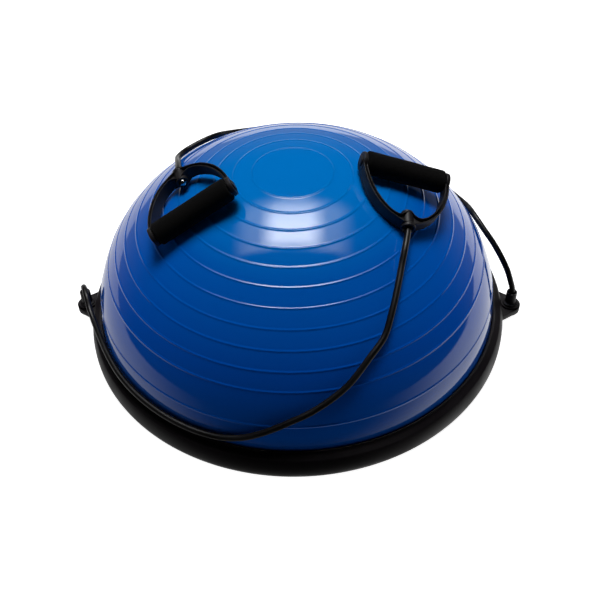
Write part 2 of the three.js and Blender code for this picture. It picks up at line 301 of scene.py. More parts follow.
# The deep grain of the board and the talc on the bands scatter light, so they mirror less than the bare material.
BOARD_PLASTIC = MouldedPlastic("moulded_board_black", "#130E13", roughness=0.5, ior=1.34)
HANDLE_PLASTIC = MouldedPlastic(
    "moulded_handle_black", "#1B181B", roughness=0.5, ior=1.49, grain_size=0.6 * MM, grain_height=0.02 * MM
)
UNDER_PLASTIC = MouldedPlastic("moulded_underside_black", "#0C0C0C", roughness=0.55, grain_height=0.08 * MM)
LATEX = LatexTube("dipped_latex_black", "#090808", roughness=0.36, ior=1.4)
FOAM = CellFoam("nitrile_foam_black", "#0B0A0A", roughness=0.97)
PAD_RUBBER = MouldedPlastic("moulded_pad_rubber", "#121212", roughness=0.7, grain_size=1.5 * MM)
STEEL = TurnedSteel("bright_plated_steel", "#C9CACC", roughness=0.16, metallic=1.0)


# ---- Mesh making ----


@dataclass
class Place:
    """Where a piece's own axes stand in the object: a middle point and the ways of its X, Y and Z."""

    middle: Array = field(default_factory=lambda: np.zeros(3))
    turn: Array = field(default_factory=lambda: np.eye(3))

    def carry(self, points: Array) -> Array:
        """Takes points from the piece's own axes to the object's: turned, then moved."""
        return points @ self.turn.T + self.middle

    def along(self, axis: str) -> "Place":
        """Axes whose Z is this place's X or Y, for a piece turned about that way.

        Args:
            axis: X, -X or Y.

        Returns:
            The turned place.
        """
        x, y, z = self.turn.T
        columns = {"X": (y, z, x), "-X": (z, y, -x), "Y": (z, x, y)}[axis]
        return Place(self.middle, np.stack(columns, axis=1))


def unit(vector: Array) -> Array:
    """Vectors scaled to length one along their last axis."""
    return vector / np.linalg.norm(vector, axis=-1, keepdims=True)


def grid_faces(rows: int, columns: int, wrap_rows: bool, wrap_columns: bool) -> Array:
    """Faces of a grid of points numbered row by row, each from a point, its neighbours and the one across.

    Args:
        rows: how many rows of points.
        columns: how many points in a row.
        wrap_rows: whether the last row joins the first.
        wrap_columns: whether each row's end joins its start.

    Returns:
        An array of four point numbers for each face.
    """
    row = np.arange(rows if wrap_rows else rows - 1)[:, None]
    column = np.arange(columns if wrap_columns else columns - 1)[None, :]
    next_row, next_column = (row + 1) % rows, (column + 1) % columns
    corners = [row * columns + column, row * columns + next_column]
    corners += [next_row * columns + next_column, next_row * columns + column]
    return np.stack([corner.ravel() for corner in np.broadcast_arrays(*corners)], axis=1)


def make_piece(
    name: str,
    points: Array,
    faces: Array,
    finish: Finish,
    caps: Sequence[Array] = (),
    sharp_deg: float = 38.0,
    chart: Array | None = None,
) -> bpy.types.Object:
    """Makes a smooth-shaded mesh object at the origin from whole arrays.

    Args:
        name: the piece's name.
        points: point places, one row each, in metres.
        faces: four point numbers for each quad.
        finish: the finish that it gets.
        caps: rings of point numbers that close open ends.
        sharp_deg: edges that turn more than this stay crisp.
        chart: UV for each point.

    Returns:
        The linked object.
    """
    mesh = bpy.data.meshes.new(name)
    polygons = [*faces.tolist(), *[list(map(int, cap)) for cap in caps]]
    mesh.from_pydata(points.tolist(), [], polygons)
    mesh.validate()
    mesh.polygons.foreach_set("use_smooth", np.ones(len(mesh.polygons), dtype=bool))
    mesh.set_sharp_from_angle(angle=math.radians(sharp_deg))
    if chart is not None:
        corner = np.empty(len(mesh.loops), dtype=np.int32)
        mesh.loops.foreach_get("vertex_index", corner)
        mesh.uv_layers.new(name="UVMap").data.foreach_set("uv", chart[corner].astype(np.float32).ravel())
    mesh.materials.append(finish.build())
    mesh.update()
    piece = bpy.data.objects.new(name, mesh)
    bpy.context.collection.objects.link(piece)
    return piece


def eased(profile: Sequence[Pair], radius: float, closed: bool, steps: int = 4) -> Array:
    """Rounds the corners of an outline with quadratic curves that start and end a radius from each corner.

    Args:
        profile: the outline's corners.
        radius: how far from a corner its curve starts, at most 0.45 of each side.
        closed: whether the outline joins its own start.
        steps: how many points each rounded corner gets, less one.

    Returns:
        The rounded outline's points.
    """
    corners = np.asarray(profile, dtype=float)
    before, after = np.roll(corners, 1, axis=0), np.roll(corners, -1, axis=0)
    back, ahead = before - corners, after - corners
    back_length = np.linalg.norm(back, axis=1, keepdims=True)
    ahead_length = np.linalg.norm(ahead, axis=1, keepdims=True)
    start = corners + back / back_length * np.minimum(radius, 0.45 * back_length)
    end = corners + ahead / ahead_length * np.minimum(radius, 0.45 * ahead_length)
    t = np.linspace(0.0, 1.0, steps + 1)[None, :, None]
    curves = (1 - t) ** 2 * start[:, None] + 2 * t * (1 - t) * corners[:, None] + t**2 * end[:, None]
    if closed:
        return curves.reshape(-1, 2)
    return np.concatenate([corners[:1], curves[1:-1].reshape(-1, 2), corners[-1:]])


def turned(
    name: str,
    profile: Sequence[Pair],
    finish: Finish,
    place: Place | None = None,
    ease: float = 0.6 * MM,
    segments: int = 64,
    shape: Callable[[Array, Array, Array], Array] | None = None,
    sharp_deg: float = 38.0,
) -> bpy.types.Object:
    """Makes a closed piece turned about its own Z from radius and height pairs.

    The surface is radius(v) round the axis at height(v), for v along the outline and an angle u round it. An
    outline that starts and ends on the axis closes at its poles, and any other joins its own start.

    Args:
        name: the piece's name.
        profile: the outline's corners, in metres, going outwards and up the outside.
        finish: the finish that it gets.
        place: where its axes stand.
        ease: how far its corners are rounded.
        segments: how many steps go round it.
        shape: changes the radius grid, given radius, height and angle grids.
        sharp_deg: edges that turn more than this stay crisp.

    Returns:
        The linked object.
    """
    first, last = profile[0], profile[-1]
    on_axis = first[0] < 1e-9 and last[0] < 1e-9
    outline = eased(profile, ease, closed=not on_axis) if ease else np.asarray(profile, dtype=float)
    body = outline[1:-1] if on_axis else outline
    angle = np.linspace(0.0, TAU, segments, endpoint=False)[None, :]
    radius = np.broadcast_to(body[:, :1], (len(body), segments))
    height = np.broadcast_to(body[:, 1:], (len(body), segments))
    if shape is not None:
        radius = shape(radius, height, np.broadcast_to(angle, radius.shape))
    grid = np.stack([radius * np.cos(angle), radius * np.sin(angle), height], axis=-1)
    points = grid.reshape(-1, 3)
    faces = grid_faces(len(body), segments, wrap_rows=not on_axis, wrap_columns=True)
    caps: list[Array] = []
    if on_axis:
        poles = np.array([[0.0, 0.0, outline[0, 1]], [0.0, 0.0, outline[-1, 1]]])
        points = np.concatenate([points, poles])
        ring = np.arange(segments)
        low, high = len(points) - 2, len(points) - 1
        top_ring = ring + (len(body) - 1) * segments
        caps = [*np.stack([np.full(segments, low), np.roll(ring, -1), ring], axis=1)]
        caps += [*np.stack([np.full(segments, high), top_ring, np.roll(top_ring, -1)], axis=1)]
    return make_piece(name, (place or Place()).carry(points), faces, finish, caps, sharp_deg)


def swept(
    name: str,
    line: Array,
    section: Array,
    across: Array,
    up: Array,
    finish: Finish,
    chart_scale: float | None = None,
) -> bpy.types.Object:
    """Carries a section along a line and closes both ends.

    Each point is line(u) + across(u) times the section's first number + up(u) times its second.

    Args:
        name: the piece's name.
        line: the line's points.
        section: the section's points in order, as one set or a set for each point of the line.
        across: the way of the section's first number at each point of the line.
        up: the way of its second.
        finish: the finish that it gets.
        chart_scale: if given, UV units for each metre along the line and round the section.

    Returns:
        The linked object.
    """
    sections = np.broadcast_to(section, (len(line), *section.shape[-2:]))
    grid = line[:, None] + across[:, None] * sections[..., :1] + up[:, None] * sections[..., 1:]
    rows, columns = grid.shape[:2]
    faces = grid_faces(rows, columns, wrap_rows=False, wrap_columns=True)
    caps = [np.arange(columns)[::-1], np.arange(columns) + (rows - 1) * columns]
    chart = None
    if chart_scale is not None:
        steps = np.linalg.norm(np.diff(line, axis=0), axis=1)
        travel = np.concatenate([[0.0], np.cumsum(steps)]) * chart_scale
        girth = np.abs(np.linspace(-1.0, 1.0, columns)) * np.abs(sections).max() * math.pi * chart_scale
        chart = np.stack(np.broadcast_arrays(travel[:, None], girth[None, :]), axis=-1).reshape(-1, 2)
    return make_piece(name, grid.reshape(-1, 3), faces, finish, caps, chart=chart)


def settle(piece: bpy.types.Object, body: str, slot: str, *nodes: str) -> bpy.types.Object:
    """Gives a piece its body, hides the CAD nodes that it stands for, and reports it.

    Args:
        piece: the finished object.
        body: the body that it moves with.
        slot: not used.
        *nodes: the CAD nodes that it replaces.

    Returns:
        The same object.
    """
    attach(piece, body)
    if nodes:
        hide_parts(*nodes)
    LOG.info("%s: %d faces, rides on %s", piece.name, len(piece.data.polygons), body)
    return piece


def lathe(
    name: str,
    lines: Sequence[Pair],
    finish: Finish,
    standing: tuple[str, str, str],
    place: Place | None = None,
    **options: Any,
) -> bpy.types.Object:
    """Turns a piece from an outline in millimetres and settles it.

    Args:
        name: the piece's name.
        lines: the outline's corners, as radius and height.
        finish: the finish that it gets.
        standing: its body, its material slot and the CAD node that it stands for.
        place: where its axes stand.
        **options: what else turned takes.

    Returns:
        The settled object.
    """
    profile = [(radius * MM, height * MM) for radius, height in lines]
    return settle(turned(name, profile, finish, place, **options), *standing)


# ---- Sub-assemblies ----


@dataclass
class DomeBladder:
    """The blown dome: half an ellipsoid with raised rings, clamped by its bead, with a valve low at the back."""

    radius: float = 273 * MM
    rise: float = 215 * MM
    spring: float = 48.8 * MM  # the height at which its side stands upright
    wall: float = 3 * MM
    bead_radius: float = 279 * MM
    bead_inner: float = 265.2 * MM
    first_ring: float = 51 * MM  # along the skin from the top
    ring_step: float = 24.6 * MM
    ring_count: int = 11
    last_ring: float = 344 * MM
    ring_width: float = 1.25 * MM  # the spread of a ring's bell-shaped section
    ring_height: float = 0.65 * MM
    valve_azimuth: float = 90.0
    valve_height: float = 75 * MM

    def skin_radius(self, height: Array) -> Array:
        """The skin's radius at a height, on the ellipse of its radius and rise."""
        return self.radius * np.sqrt(1.0 - ((height - self.spring) / self.rise) ** 2)

    def out_from(self, points: Array) -> Array:
        """The way straight out from the skin at points on it: the slope of the ellipsoid's equation."""
        scale = np.array([self.radius, self.radius, self.rise]) ** 2
        return unit((points - np.array([0.0, 0.0, self.spring])) / scale)

    def on_skin(self, azimuth: float, height: float, lift: float = 0.0) -> Array:
        """A point a lift above the skin.

        Args:
            azimuth: degrees round from +X.
            height: the height of the skin point, in metres.
            lift: how far out from the skin.

        Returns:
            The point.
        """
        angle = math.radians(azimuth)
        radius = float(self.skin_radius(np.array(height)))
        point = np.array([radius * math.cos(angle), radius * math.sin(angle), height])
        return point + lift * self.out_from(point)

    def outline(self) -> Array:
        """The skin's section, from the top down the outside, round the bead and back up the inside.

        The outside is the ellipse pushed out by a bell curve at each ring's distance along it, and it is
        sampled every few millimetres and closely across each ring.

        Returns:
            Radius and height pairs.
        """
        fine = np.linspace(math.pi / 2, 0.0, 4001)
        curve = np.stack([self.radius * np.cos(fine), self.spring + self.rise * np.sin(fine)], axis=1)
        travel = np.concatenate([[0.0], np.cumsum(np.linalg.norm(np.diff(curve, axis=0), axis=1))])
        rings = np.append(self.first_ring + self.ring_step * np.arange(self.ring_count), self.last_ring)
        across = np.linspace(-3.0, 3.0, 13)[None, :] * self.ring_width + rings[:, None]
        even = np.linspace(0.0, travel[-1], 70)
        clear = np.abs(even[:, None] - rings[None, :]).min(axis=1) > 3.4 * self.ring_width
        stations = np.sort(np.concatenate([even[clear], across.ravel()]))
        stations[0] = 0.0
        outer = np.stack([np.interp(stations, travel, curve[:, k]) for k in (0, 1)], axis=1)
        slope = unit((outer - np.array([0.0, self.spring])) / np.array([self.radius, self.rise]) ** 2)
        bell = np.exp(-(((stations[:, None] - rings[None, :]) / self.ring_width) ** 2)).sum(axis=1)
        outer = outer + slope * (bell * self.ring_height)[:, None]
        outer[0, 0] = 0.0
        inner_angle = np.linspace(0.0, math.pi / 2, 40)
        inside, under = self.radius - self.wall, self.rise - self.wall
        inner = np.stack([inside * np.cos(inner_angle), self.spring + under * np.sin(inner_angle)], axis=1)
        inner[-1, 0] = 0.0
        outer_r, bead_r, inner_r = self.radius, self.bead_radius, self.bead_inner
        bead_r_z = [(outer_r, 37.4 * MM), (bead_r, 36.6 * MM), (bead_r, 27.2 * MM)]
        bead = np.array([*bead_r_z, (inner_r, 27.2 * MM), (inner_r, 31 * MM), (inside, 35 * MM)])
        return np.concatenate([outer, bead, inner])[::-1]

    def valve_place(self) -> Place:
        """The valve's axes, with Z straight out of the skin."""
        point = self.on_skin(self.valve_azimuth, self.valve_height)
        z = self.out_from(point)
        x = unit(np.cross(np.array([0.0, 0.0, 1.0]), z))
        return Place(point, np.stack([x, np.cross(z, x), z], axis=1))

    def make(self) -> None:
        """Builds the skin, the valve seat and its plug, and dresses the floor of the dome."""
        skin = turned("dome_skin_blown", self.outline(), VINYL, ease=0.0, segments=320, sharp_deg=50)
        settle(skin, "root", "dome_vinyl", "dome_skin")
        dress("dome_floor", VINYL)
        place = self.valve_place()
        seat_lines = [(3.5, -9), (5.4, -9), (5.4, 0.5), (12.6, 0.6), (13, 1.2), (12, 2.2), (3.5, 2.2)]
        fine = {"place": place, "ease": 0.4 * MM, "segments": 48}
        lathe("valve_seat_moulded", seat_lines, UNDER_PLASTIC, ("root", "board_plastic", "valve_seat"), **fine)
        plug_lines = [(0, -6), (2.2, -6), (3.2, -4), (3.2, 2.5), (8, 2.5), (8, 4), (6.4, 5)]
        plug_lines += [(3, 4.7), (2.6, 4), (0, 4)]
        standing = ("valve_plug_body", "board_plastic", "valve_plug")
        lathe("valve_plug_moulded", plug_lines, HANDLE_PLASTIC, standing, **fine)


def dress(node: str, finish: Finish) -> None:
    """Gives a carried-over CAD node a finish.

    Args:
        node: the node's name.
        finish: its finish.
    """
    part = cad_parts[node]
    material = finish.build()
    if not part.material_slots:
        part.data.materials.append(material)
    for material_slot in part.material_slots:
        material_slot.material = material
    LOG.info("%s: CAD node, dressed in %s", node, material.name)


@dataclass
class Base:
    """The black board: a rim that grips the dome's bead, the flat board under it, screws and pads."""

    rim_radius: float = 290.0
    rim_top: float = 50.3
    neck: float = 273.6
    pad_circle: float = 225.0
    screw_circle: float = 266.0
    screw_count: int = 8
    pad_count: int = 6

    def rim(self) -> None:
        """The rim: a rounded outer wall with a lip against the dome, hollow inside over the bead."""
        r, top, neck = self.rim_radius, self.rim_top, self.neck
        angle = np.radians(np.linspace(52, 0, 12))
        bulge = np.stack([r - 13 + 13 * np.cos(angle), 24.5 + 24 * np.sin(angle)], axis=1)
        lines = [
            (neck, 37.6), (neck, top - 0.6), (neck + 0.9, top), (neck + 2.6, top), (neck + 3.3, top - 1.7),
            (neck + 5.2, top - 3.2), *bulge.tolist(), (r - 0.3, 21), (r - 1.4, 17.5), (r - 3.0, 14.5), (r - 5, 12),
            (r - 7, 9.9), (r - 9, 8), (r - 11.2, 5.6), (r - 12.6, 3.7), (276.5, 3), (276.5, 7.3), (256.5, 7.3),
            (256.5, 13.3), (283.6, 13.3), (284, 30), (281, 37.6),
        ]
        standing = ("root", "board_plastic", "base_rim")
        lathe("base_rim_moulded", lines[::-1], BOARD_PLASTIC, standing, ease=0.7 * MM, segments=320)

    def board(self) -> None:
        """The board's flat underside, with rings of grip grooves 12 mm apart, and the plain ribs above it."""
        groove = ((0, 0), (0.8, 0.7), (2, 0.7), (2.8, 0))
        grooves = [(r + across, 3 + deep) for r in range(24, 204, 12) for across, deep in groove]
        ribs = [p for r in (251, 165, 80) for p in ((r + 5, 7), (r + 5, 27.4), (r, 27.4), (r, 7))]
        lines = [(0, 3), *grooves, (276, 3), (276, 7), *ribs, (0, 7)]
        standing = ("root", "board_plastic", "base_board")
        lathe("base_board_moulded", lines, UNDER_PLASTIC, standing, ease=0.25 * MM, segments=160)
        dress("bead_clamp_ring", UNDER_PLASTIC)

    def under(self, circle: float, share: float) -> Place:
        """The axes of a small piece under the board, on a circle and at a share of a turn from +X."""
        return Place(np.array([math.cos(TAU * share), math.sin(TAU * share), 0.0]) * circle * MM)

    def pad(self, number: int) -> None:
        """One rubber pad with two tread grooves in its foot.

        Args:
            number: the pad's number, counted round from +X.
        """
        place = self.under(self.pad_circle, (number - 1) / self.pad_count)
        lines = [(0, 0), (6, 0), (6.5, 0.7), (8, 0.7), (8.5, 0), (13, 0), (13.5, 0.7), (15, 0.7), (15.5, 0)]
        lines += [(19.4, 0), (20, 0.8), (20, 2.7), (0, 2.7)]
        standing = ("root", "pad_rubber", f"foot_pad_{number}")
        lathe(f"foot_pad_tread_{number}", lines, PAD_RUBBER, standing, place, ease=0.3 * MM, segments=48)

    def screw(self, number: int) -> None:
        """One countersunk screw with a hexagon socket, whose flats come from the cosine of the angle off them.

        Args:
            number: the screw's number, counted round from the first after +X.
        """
        place = self.under(self.screw_circle, (number - 0.5) / self.screw_count)
        lines = [(0, 5.2), (1.7, 5.2), (1.75, 3.2), (4.9, 3.2), (5, 3.5), (2.2, 5.9), (2.2, 11.6), (0, 13)]

        def socket(radius: Array, height: Array, turn: Array) -> Array:
            """Draws the socket's round wall in to a hexagon."""
            off_flat = (turn + TAU / 12) % (TAU / 6) - TAU / 12
            inside = (radius < 1.9 * MM) & (height < 5.4 * MM)
            return np.where(inside, radius / np.cos(off_flat) * 0.9, radius)

        standing = ("root", "bright_steel", f"base_screw_{number}")
        fine = {"ease": 0.15 * MM, "segments": 48, "shape": socket}
        lathe(f"base_screw_socket_{number}", lines, STEEL, standing, place, **fine)

    def make(self) -> None:
        """Builds the rim, board, pads and screws."""
        self.rim()
        self.board()
        for number in range(1, self.pad_count + 1):
            self.pad(number)
        for number in range(1, self.screw_count + 1):
            self.screw(number)


@dataclass
class LugFitting:
    """One lug on the rim, its swivelling collar, the clip under it and the stopper in the band's end."""

    side: Side
    reach: float = LUG_REACH
    hole: float = 8.0
    nose: float = 14.5
    root_x: float = 285.8
    root_half: float = 28.0
    low: float = 15.5
    high: float = 25.5
    ring: float = 13.0
    ring_high: float = 28.0
    collar: float = 7.5
    bore: float = 5.6
    collar_top: float = COLLAR_TOP

    def place(self) -> Place:
        """The lug's axes: Z up through the hole, and X out from the board."""
        sign = float(self.side.value)
        return Place(np.array([sign * self.reach * MM, 0.0, 0.0]), np.diag([sign, sign, 1.0]))

    def edge(self, angle: Array) -> Array:
        """The plate's outline about the hole, as the distance out at an angle.

        The nose is a circle, the flanks are straight lines that touch it and run to the root's corners, and the
        root is a straight line in the rim's wall; the nearest of them bounds the plate.

        Args:
            angle: angles round the hole, from straight out.

        Returns:
            The distance at each angle.
        """
        back = self.reach - self.root_x
        corner = np.array([-back, self.root_half])
        lean = math.atan2(corner[1], corner[0]) - math.acos(self.nose / math.hypot(*corner))
        cosine_root = -np.cos(angle)
        root = np.where(cosine_root > 0.05, back / np.maximum(cosine_root, 0.05), 1e3)
        turn = np.abs((angle + math.pi) % TAU - math.pi)
        cosine_flank = np.cos(turn - lean)
        flank = np.where(cosine_flank > 0.05, self.nose / np.maximum(cosine_flank, 0.05), 1e3)
        return np.minimum(np.where(turn < lean, self.nose, flank), root)

    def plate(self) -> None:
        """The plate with its raised ring: rows between the hole and the outline, eased over the top edge.

        Each row is a share of the way from the hole to the outline and a height, and the rows go up through
        the ring, out over the plate, down its edge and back under it.
        """
        rows = [
            (0.0, 0.0, self.low), (0.0, 0.0, self.ring_high - 0.5), (0.5, 0.0, self.ring_high),
            (4.4, 0.0, self.ring_high), (4.9, 0.0, self.ring_high - 0.5), (5.1, 0.0, self.high + 0.3),
            (5.4, 0.0, self.high), (5.5, 0.3, self.high), (-1.6, 1.0, self.high), (-0.5, 1.0, self.high - 0.4),
            (0.0, 1.0, self.high - 1.5), (0.0, 1.0, self.low + 1.2), (-0.4, 1.0, self.low + 0.3),
            (-1.2, 1.0, self.low), (4.0, 0.4, self.low),
        ]
        angle = np.linspace(0.0, TAU, 160, endpoint=False)
        offset, share, height = (np.array(column)[:, None] for column in zip(*rows))
        edge = self.edge(angle)[None, :]
        radius = self.hole + (edge - self.hole) * share + offset
        radius = np.minimum(radius, edge)
        grid = np.stack([radius * np.cos(angle), radius * np.sin(angle), height + 0 * radius], axis=-1) * MM
        faces = grid_faces(len(rows), len(angle), wrap_rows=True, wrap_columns=True)[:, ::-1]
        points = self.place().carry(grid.reshape(-1, 3))
        plate = make_piece(f"{self.side.label}_lug_plate", points, faces, BOARD_PLASTIC)
        settle(plate, "root", "board_plastic", "base_rim")

    def make(self) -> None:
        """Builds the plate and the fittings in its hole."""
        label, place = self.side.label, self.place()
        self.plate()
        body = f"{label}_collar_body"
        shoulder = self.ring_high + 0.3
        bore, r, top = self.bore, self.collar, self.collar_top
        lines = [(bore, 15.6), (r, 15.6), (r, shoulder), (r + 3, shoulder), (r + 3, shoulder + 1.5)]
        lines += [(r + 0.1, shoulder + 3), (r - 0.2, top - 0.3), (r - 0.6, top), (bore, top)]
        standing = (body, "handle_plastic", f"{label}_collar")
        lathe(f"{label}_collar_moulded", lines, HANDLE_PLASTIC, standing, place, ease=0.5 * MM)
        clip = [(bore, 11.5), (11.4, 11.5), (12, 12.5), (12, 15.2), (bore, 15.2)]
        standing = (body, "handle_plastic", f"{label}_collar_clip")
        lathe(f"{label}_collar_clip_moulded", clip, HANDLE_PLASTIC, standing, place, ease=0.4 * MM)
        ball = [(0, 4), (2.6, 4.3), (5, 6), (6.2, 8.6), (5, 10.8), (3, 12), (3, 23.7), (0, 23.7)]
        standing = ("root", "band_rubber", f"{label}_band_stopper")
        lathe(f"{label}_band_stopper_ball", ball, PAD_RUBBER, standing, place, ease=1.2 * MM, segments=40)


@dataclass
class Handle:
    """One D-handle: a bow with grooved edges, a boss that holds the band, and a foam grip that turns."""

    side: Side
    grip: tuple[float, float, float]
    boss: tuple[float, float, float]
    face: tuple[float, float, float]
    half_width: float = 59.0
    reach: float = 86.0
    wall: float = 6.0
    end_wall: float = 5.0
    depth: float = 16.0
    flange: float = 1.5  # the thin walls along the edges of the bow
    groove: float = 4.2  # how deep the bow is hollowed from each face
    web_spread: float = 11.0
    grip_length: float = 105.0
    grip_radius: float = 15.0
    eye_radius: float = 12.5
    boss_radius: float = 7.6
    boss_start: float = 66.5
    boss_mouth: float = 91.0
    band_inset: float = 14.0

    def place(self) -> Place:
        """The handle's axes: X along the grip, Y towards the boss and Z out of its face."""
        y = unit(np.array(self.boss))
        x = unit(np.cross(y, np.array(self.face)))
        return Place(np.array(self.grip) * MM, np.stack([x, y, np.cross(x, y)], axis=1))

    def boss_point(self, distance: float, drop: float = 0.0) -> Array:
        """A point on the boss's axis, at a distance in millimetres from the grip and a drop under the axis."""
        return self.place().carry(np.array([0.0, distance, -drop]) * MM)

    def bow(self) -> None:
        """The bow: a bar hollowed from both faces, carried along half an ellipse, that widens to a web at the boss.

        Across the bar, each corner stands on its outer or its inner flange. A bell curve of the distance from the
        boss draws the inner flange in to the boss's inner end and the outer one out to its mouth, and another
        thins the bar at its ends.
        """
        half, deep, low = self.wall / 2, self.depth / 2, self.depth / 2 - self.groove
        thin = self.flange
        quarter = [(half, deep), (half - thin, deep), (half - thin - 0.2, low)]
        upper = quarter + [(-x, z) for x, z in reversed(quarter)]
        section = eased(upper + [(x, -z) for x, z in reversed(upper)], 0.4, closed=True, steps=3)
        turn = np.linspace(0.1, math.pi - 0.1, 170)
        a, b = self.half_width - half, self.reach - half
        line = np.stack([a * np.cos(turn), b * np.sin(turn), 0 * turn], axis=1)
        out = unit(np.stack([b * np.cos(turn), a * np.sin(turn), 0 * turn], axis=1))
        bell = np.exp(-((np.abs(line[:, :1]) / self.web_spread) ** 2.4))
        ends = np.clip((np.abs(line[:, :1]) - 0.8 * a) / (0.2 * a), 0.0, 1.0) ** 2
        outward = section[None, :, 0] > 0
        shift = np.where(outward, 2.2 * bell, (self.wall - self.end_wall) * ends - 12.0 * bell)
        sections = np.stack(np.broadcast_arrays(section[None, :, 0] + shift, section[None, :, 1]), axis=-1) * MM
        place = self.place()
        line, out = place.carry(line * MM), out @ place.turn.T
        up = np.broadcast_to(place.turn[:, 2], out.shape)
        bow = swept(f"{self.side.label}_handle_bow", line, sections, out, up, HANDLE_PLASTIC)
        settle(bow, self.body, "handle_plastic", f"{self.side.label}_handle_frame")

    @property
    def body(self) -> str:
        """The body that the rigid half of the handle moves with."""
        return f"{self.side.label}_handle"

    def fittings(self) -> None:
        """The boss, the eyes at the ends of the bow, the grip's bar and caps, and the ball in the band."""
        label, place = self.side.label, self.place()
        along_boss = place.along("Y")
        start, mouth, r = self.boss_start, self.boss_mouth, self.boss_radius
        boss_lines = [(5.3, start), (r, start), (r, mouth - 6.4), (r + 1.7, mouth - 4.4), (r + 1.7, mouth)]
        boss_lines += [(6.6, mouth), (5.3, mouth - 1.6)]
        frame = (self.body, "handle_plastic", f"{label}_handle_frame")
        lathe(f"{label}_handle_boss", boss_lines, HANDLE_PLASTIC, frame, along_boss, ease=0.6 * MM)
        ball = [(0, -3.6), (2.4, -3.2), (4.2, -1.6), (4.8, 0.6), (4.8, 3), (3, 5), (3, 9.9), (0, 9.9)]
        ball = [(radius, start + rise) for radius, rise in ball]
        standing = (self.body, "bright_steel", f"{label}_band_ball")
        lathe(f"{label}_band_ball_plated", ball, STEEL, standing, along_boss, ease=1.4 * MM, segments=48)
        for end, axis in (("a", "X"), ("b", "-X")):
            way = place.along(axis)
            outer, inner, eye_r = self.half_width, self.half_width - self.end_wall, self.eye_radius
            eye_lines = [(6.4, inner), (eye_r, inner), (eye_r, outer), (6.4, outer)]
            lathe(f"{label}_bow_eye_{end}", eye_lines, HANDLE_PLASTIC, frame, way, ease=0.8 * MM)
            cap_lines = [(0, outer - 9.6), (3.3, outer - 9.6), (3.3, outer + 0.3), (7, outer + 0.3)]
            cap_lines += [(7, outer + 1.2), (5.6, outer + 1.9), (0, outer + 1.9)]
            standing = (self.body, "handle_plastic", f"{label}_grip_cap_{end}")
            lathe(f"{label}_grip_cap_moulded_{end}", cap_lines, HANDLE_PLASTIC, standing, way, ease=0.6 * MM)
        half = self.half_width - 0.1
        bar = [(3.9, -half), (6, -half), (6, half), (3.9, half)]
        standing = (self.body, "handle_plastic", f"{label}_grip_bar")
        lathe(f"{label}_grip_bar_tube", bar, HANDLE_PLASTIC, standing, place.along("X"), ease=0.3 * MM, segments=40)

    def soft_grip(self) -> None:
        """The foam sleeve on its plastic tube.

        The foam's radius strays from its round by long, shallow waves along it and round it, and its cut ends
        are rounded off.
        """
        label, place = self.side.label, self.place().along("X")
        body, half = f"{label}_grip", self.grip_length / 2
        r = self.grip_radius
        end = half + 0.9
        sleeve, standing = [(6.5, -end), (8.4, -end), (8.4, end), (6.5, end)], f"{label}_grip_sleeve"
        fine = {"place": place, "ease": 0.3 * MM, "segments": 48}
        lathe(f"{standing}_tube", sleeve, HANDLE_PLASTIC, (body, "handle_plastic", standing), **fine)
        ends = np.linspace(0.0, math.pi / 2, 7)
        near = [(r - 2.6 + 2.6 * math.sin(t), -half + 2.6 - 2.6 * math.cos(t)) for t in ends]
        flat = [(r, x) for x in np.linspace(-half + 4, half - 4, 46)]
        far = [(radius, -x) for radius, x in reversed(near)]
        lines = [(8.8, -half + 0.3), *near, *flat, *far, (8.8, half - 0.3)]
        phase = 0.7 if self.side is Side.LEFT else 2.1

        def waves(radius: Array, height: Array, turn: Array) -> Array:
            """Lets the outer wall stray by three slow waves of up to 0.3 mm in all."""
            outer = radius > 12 * MM
            sway = np.sin(height / (17 * MM) + phase) * np.cos(turn + phase)
            sway = sway + 0.6 * np.sin(height / (8 * MM) + 2 * turn) + 0.5 * np.sin(height / (31 * MM) - turn)
            return np.where(outer, radius - (0.15 * MM) * (1.0 + sway * 0.9), radius)

        fine = {"place": place, "ease": 0.0, "segments": 96, "shape": waves, "sharp_deg": 60}
        foam = lathe(f"{label}_foam_grip_cut", lines, FOAM, (body, "foam", f"{label}_foam_grip"), **fine)

    def make(self) -> None:
        """Builds the whole handle."""
        self.bow()
        self.fittings()
        self.soft_grip()


